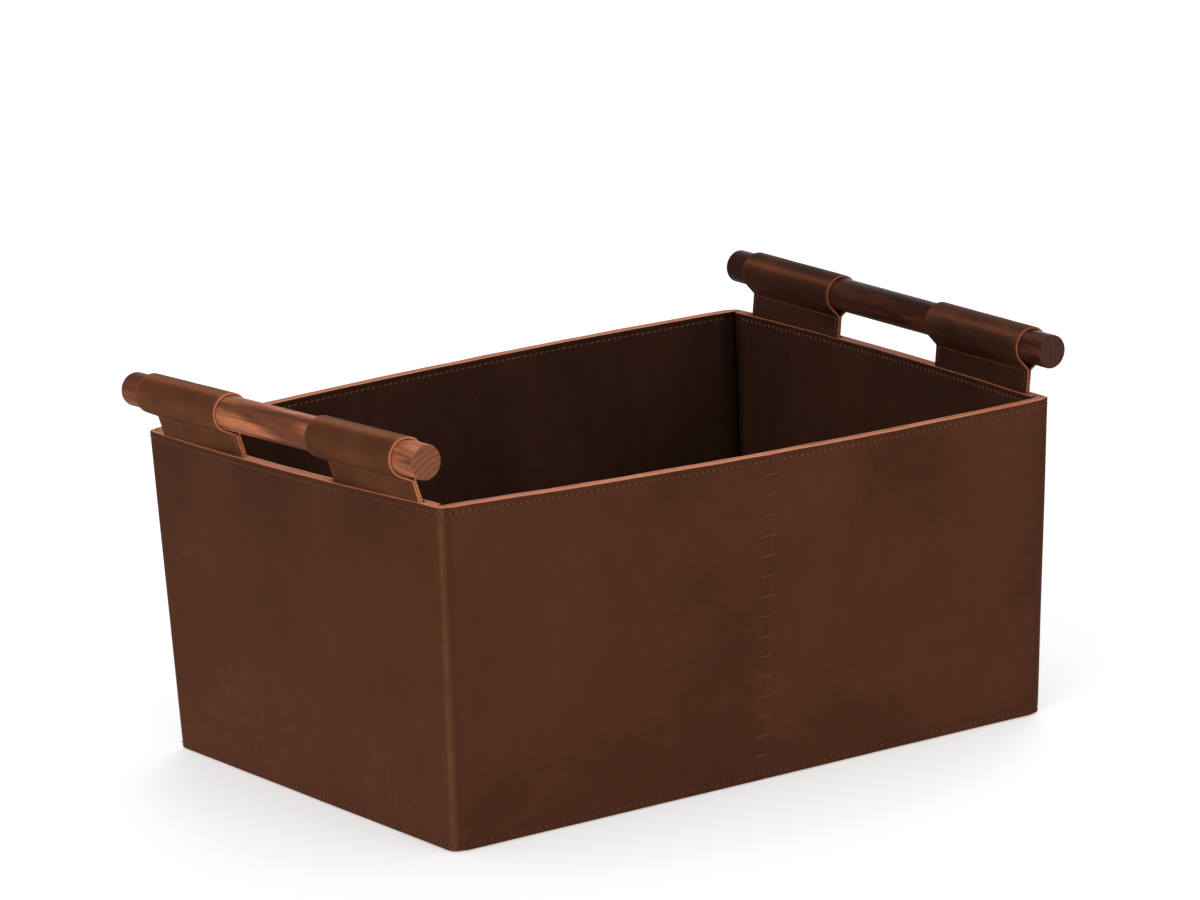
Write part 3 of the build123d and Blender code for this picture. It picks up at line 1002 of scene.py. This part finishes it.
# A row under the rod and a short row beside each side of the neck, on both faces
def tabStitches(end, side, name):
    origin, along, out, up, lean = handleFrame(end)
    upward = up * cos(lean) + out * sin(lean)
    across = out * cos(lean) - up * sin(lean)
    middle = side * tab["spacing"] / 2
    halfWidth = tab["width"] / 2
    row, short = tabStitch["row"], tabStitch["side"]
    surface = tab["leather"] + tab["sheetGap"] / 2
    stitches = []
    for face in (1, -1):
        outward = across * face
        for edge in (-1, 1):
            s = middle + edge * (halfWidth - short["fromSide"])
            for i in range(short["count"]):
                height = short["first"] + short["pitch"] * i
                place = origin + along * s + upward * height + outward * (surface - short["sunk"])
                stitches.append((place, upward, outward, short["long"]))
        first, last = middle - halfWidth + row["fromSide"], middle + halfWidth - row["fromSide"]
        for s in steps(first, last, row["pitch"]):
            height = tab["neck"] - row["underNeck"]
            place = origin + along * s + upward * height + outward * (surface - row["sunk"])
            stitches.append((place, along, outward, row["long"]))
    piece = stitchMesh(name, stitches, tabStitch["thick"], tabStitch["proud"], (tabThread,))
    bendTab(piece)


for end, endLabel in ((-1, "left"), (1, "right")):
    for side, sideLabel in ((-1, "front"), (1, "back")):
        base = f"{endLabel}_{sideLabel}_tab"
        label = endLabel + sideLabel.capitalize()
        makeTab(end, side, label + "Tab", [base + "_tongue", base + "_loop"])
        tabStitches(end, side, label + "TabStitches")
print("tabs folded")


# Floor and base

floorSheet = {
    "inset": 8.3, "top": 7.4, "bottom": 5.4, "cells": 30, "lift": 0.25, "waveSize": 70.0, "edgeRound": 0.5,
}
basePan = {
    # Inset and height of its outer and inner faces, from the turned-up edge to the middle
    "outer": [(2.6, 16.0), (2.6, 11.0), (2.6, 6.0), (2.6, 3.0)],
    "bend": 3.0, "bendFrom": 2.6,
    "under": [12.0, 30.0, 60.0, 95.0],
    "inner": [(5.0, 16.0), (5.0, 11.0), (5.0, 6.0), (5.0, 3.4), (5.3, 2.7), (5.9, 2.45), (7.0, 2.4),
              (9.0, 2.4), (12.5, 2.4), (30.0, 2.4), (60.0, 2.4), (95.0, 2.4)],
    "cornerReach": 8.0,
}


# The floor and the base have no burnished band, wear, painted shade or painted highlight of their own
def plainLook(points):
    return {"edgeAndShadeDistance": [20.0] * len(points), "wearAndHighlight": [0.0] * len(points)}


# The floor lining, a flat piece with a little lift between its edges
def makeFloor():
    cells = floorSheet["cells"]
    across = [i / cells for i in range(-cells, cells + 1)]
    points = []
    for level in (floorSheet["top"], floorSheet["bottom"]):
        halfLength = endX(0, level, floorSheet["inset"])
        halfWidth = sideY(0, level, floorSheet["inset"])
        for i in across:
            for j in across:
                x, y = i * halfLength, j * halfWidth
                lift = 0
                if level == floorSheet["top"]:
                    wave = 1 + uneven(x, y, 0, floorSheet["waveSize"], 6.0)
                    lift = floorSheet["lift"] * (1 - i ** 4) * (1 - j ** 4) * wave
                points.append((x, y, level + lift))
    faces, tags = sheetFaces(len(across), len(across), 0)
    piece = addMesh("floorLining", points, faces, (liningHide, cutEdge), tags, plainLook(points))
    dress(roundEdges(piece, floorSheet["edgeRound"]), ["floor_lining"])


# The base leather, a pan whose edge turns up inside the walls
def makeBase():
    loop = fullLoop()[:-1]
    bend, bendFrom = basePan["bend"], basePan["bendFrom"]
    outline = list(basePan["outer"])
    for i in range(1, 5):
        angle = pi / 8 * i
        outline.append((bendFrom + bend * (1 - cos(angle)), bend * (1 - sin(angle))))
    outline += [(inset, 0.0) for inset in basePan["under"]]
    points, faces, tags = [], [], []
    around = len(loop)

    def shrunk(station, z, inset):
        # Past the corner rounding the loops shrink evenly towards the middle
        x, y = wallPoint(station, z, min(inset, basePan["cornerReach"]))
        more = max(0.0, inset - basePan["cornerReach"])
        halfLength, halfWidth, _, _ = halfSizes(z)
        return (x * (1 - more / halfLength), y * (1 - more / halfWidth), z)
    for profile in (outline, basePan["inner"]):
        for inset, z in profile:
            points += [shrunk(station, z, inset) for station in loop]
    rows = len(outline)
    total = rows * around
    for r in range(rows - 1):
        for c in range(around):
            a, b = r * around + c, r * around + (c + 1) % around
            faces.append((a, b, b + around, a + around))
            faces.append((total + a, total + a + around, total + b + around, total + b))
            tags += [0, 2]
    for c in range(around):
        b = (c + 1) % around
        faces.append((c, total + c, total + b, b))
        tags.append(1)
    faces.append(tuple((rows - 1) * around + c for c in range(around)))
    faces.append(tuple(total + (rows - 1) * around + c for c in range(around))[::-1])
    tags += [0, 2]
    faceMaterials = (outerHide, cutEdge, liningHide)
    piece = addMesh("baseLeather", points, faces, faceMaterials, tags, plainLook(points))
    dress(piece, ["base_leather"])


makeFloor()
makeBase()
print("floor and base laid")


# Solids that stay as they are built only take a finish
def finishNode(name, material):
    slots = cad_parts[name].data.materials
    slots.clear()
    slots.append(material)


finishNode("left_rod", walnut)
finishNode("right_rod", darkWalnut)
finishNode("base_board", boardFibre)

# Camera, at the place where the picture was taken from
view = {
    "focal": 5983.7, "imageWidth": 1200,            # in pixels
    "turn": -34.95, "height": 13.16, "roll": -2.20, "away": 3669.3, "aim": (0.0, 0.0, 178.3),
}


def addCamera():
    data = bpy.data.cameras.new("camera")
    data.sensor_width = 36.0
    data.lens = view["focal"] / view["imageWidth"] * data.sensor_width
    data.clip_start, data.clip_end = 0.05, 60.0
    eye = bpy.data.objects.new("camera", data)
    bpy.context.scene.collection.objects.link(eye)
    turn, height, roll = radians(view["turn"]), radians(view["height"]), radians(view["roll"])
    back = Vector((sin(turn) * cos(height), -cos(turn) * cos(height), sin(height)))
    right = Vector((0, 0, 1)).cross(back).normalized()
    upward = back.cross(right)
    x = right * cos(roll) + upward * sin(roll)
    y = upward * cos(roll) - right * sin(roll)
    place = (Vector(view["aim"]) + back * view["away"]) * mm
    eye.matrix_world = Matrix(((x.x, y.x, back.x, place.x), (x.y, y.y, back.y, place.y),
                               (x.z, y.z, back.z, place.z), (0, 0, 0, 1)))
    bpy.context.scene.camera = eye


addCamera()

studio = {
    "ambient": 0.45, "floorShade": 0.84, "floorGlow": 0.36, "floorSize": 9.0,
    "lamps": {                      # direction towards the lamp, strength, softness in degrees
        "left": ((-1.0, -0.35, 0.35), 1.35, 45.0),
        "front": ((0.05, -1.0, 0.4), 1.0, 50.0),
        "back": ((0.9, 0.9, 0.5), 0.8, 40.0),
        "top": ((0.2, 0.3, 1.4), 0.5, 60.0),
    },
}


def addStudio():
    for name, (towards, strength, softness) in studio["lamps"].items():
        data = bpy.data.lights.new(name, "SUN")
        data.energy = strength
        data.angle = radians(softness)
        lamp = bpy.data.objects.new(name, data)
        lamp.rotation_mode = "QUATERNION"
        lamp.rotation_quaternion = Vector(towards).to_track_quat("Z", "Y")
        bpy.context.scene.collection.objects.link(lamp)
    world = bpy.data.worlds.new("studio")
    bpy.context.scene.world = world
    world.use_nodes = True
    tree = world.node_tree
    tree.nodes.clear()
    rays = tree.nodes.new("ShaderNodeLightPath")
    seen = mathOf(tree, "MAXIMUM", rays.outputs["Is Camera Ray"], rays.outputs["Is Glossy Ray"])
    seen = mathOf(tree, "MAXIMUM", seen, rays.outputs["Is Transmission Ray"])
    levels = {"Value": seen, "To Min": studio["ambient"], "To Max": 1.0}
    level = addNode(tree, "ShaderNodeMapRange", levels).outputs[0]
    sky = addNode(tree, "ShaderNodeBackground", {"Color": (1, 1, 1, 1), "Strength": level})
    tree.links.new(sky.outputs[0], tree.nodes.new("ShaderNodeOutputWorld").inputs["Surface"])

    mesh = bpy.data.meshes.new("studioFloor")
    size, down = studio["floorSize"], -0.0002      # just under the base
    corners = [(-size, -size, down), (size, -size, down), (size, size, down), (-size, size, down)]
    mesh.from_pydata(corners, [], [(0, 1, 2, 3)])
    floor = bpy.data.objects.new("studioFloor", mesh)
    bpy.context.scene.collection.objects.link(floor)
    material, tree, shader = newMaterial("studioFloor", roughness=0.9, specular=0.1)
    shade = studio["floorShade"]
    shader.inputs["Base Color"].default_value = (shade, shade, shade, 1)
    rays = tree.nodes.new("ShaderNodeLightPath")
    seen = mathOf(tree, "MAXIMUM", rays.outputs["Is Camera Ray"], rays.outputs["Is Glossy Ray"])
    glow = mathOf(tree, "MULTIPLY", seen, studio["floorGlow"])
    shader.inputs["Emission Color"].default_value = (1, 1, 1, 1)
    tree.links.new(glow, shader.inputs["Emission Strength"])
    mesh.materials.append(material)


addStudio()
bpy.context.scene.view_settings.view_transform = "Standard"
print("camera and studio set")
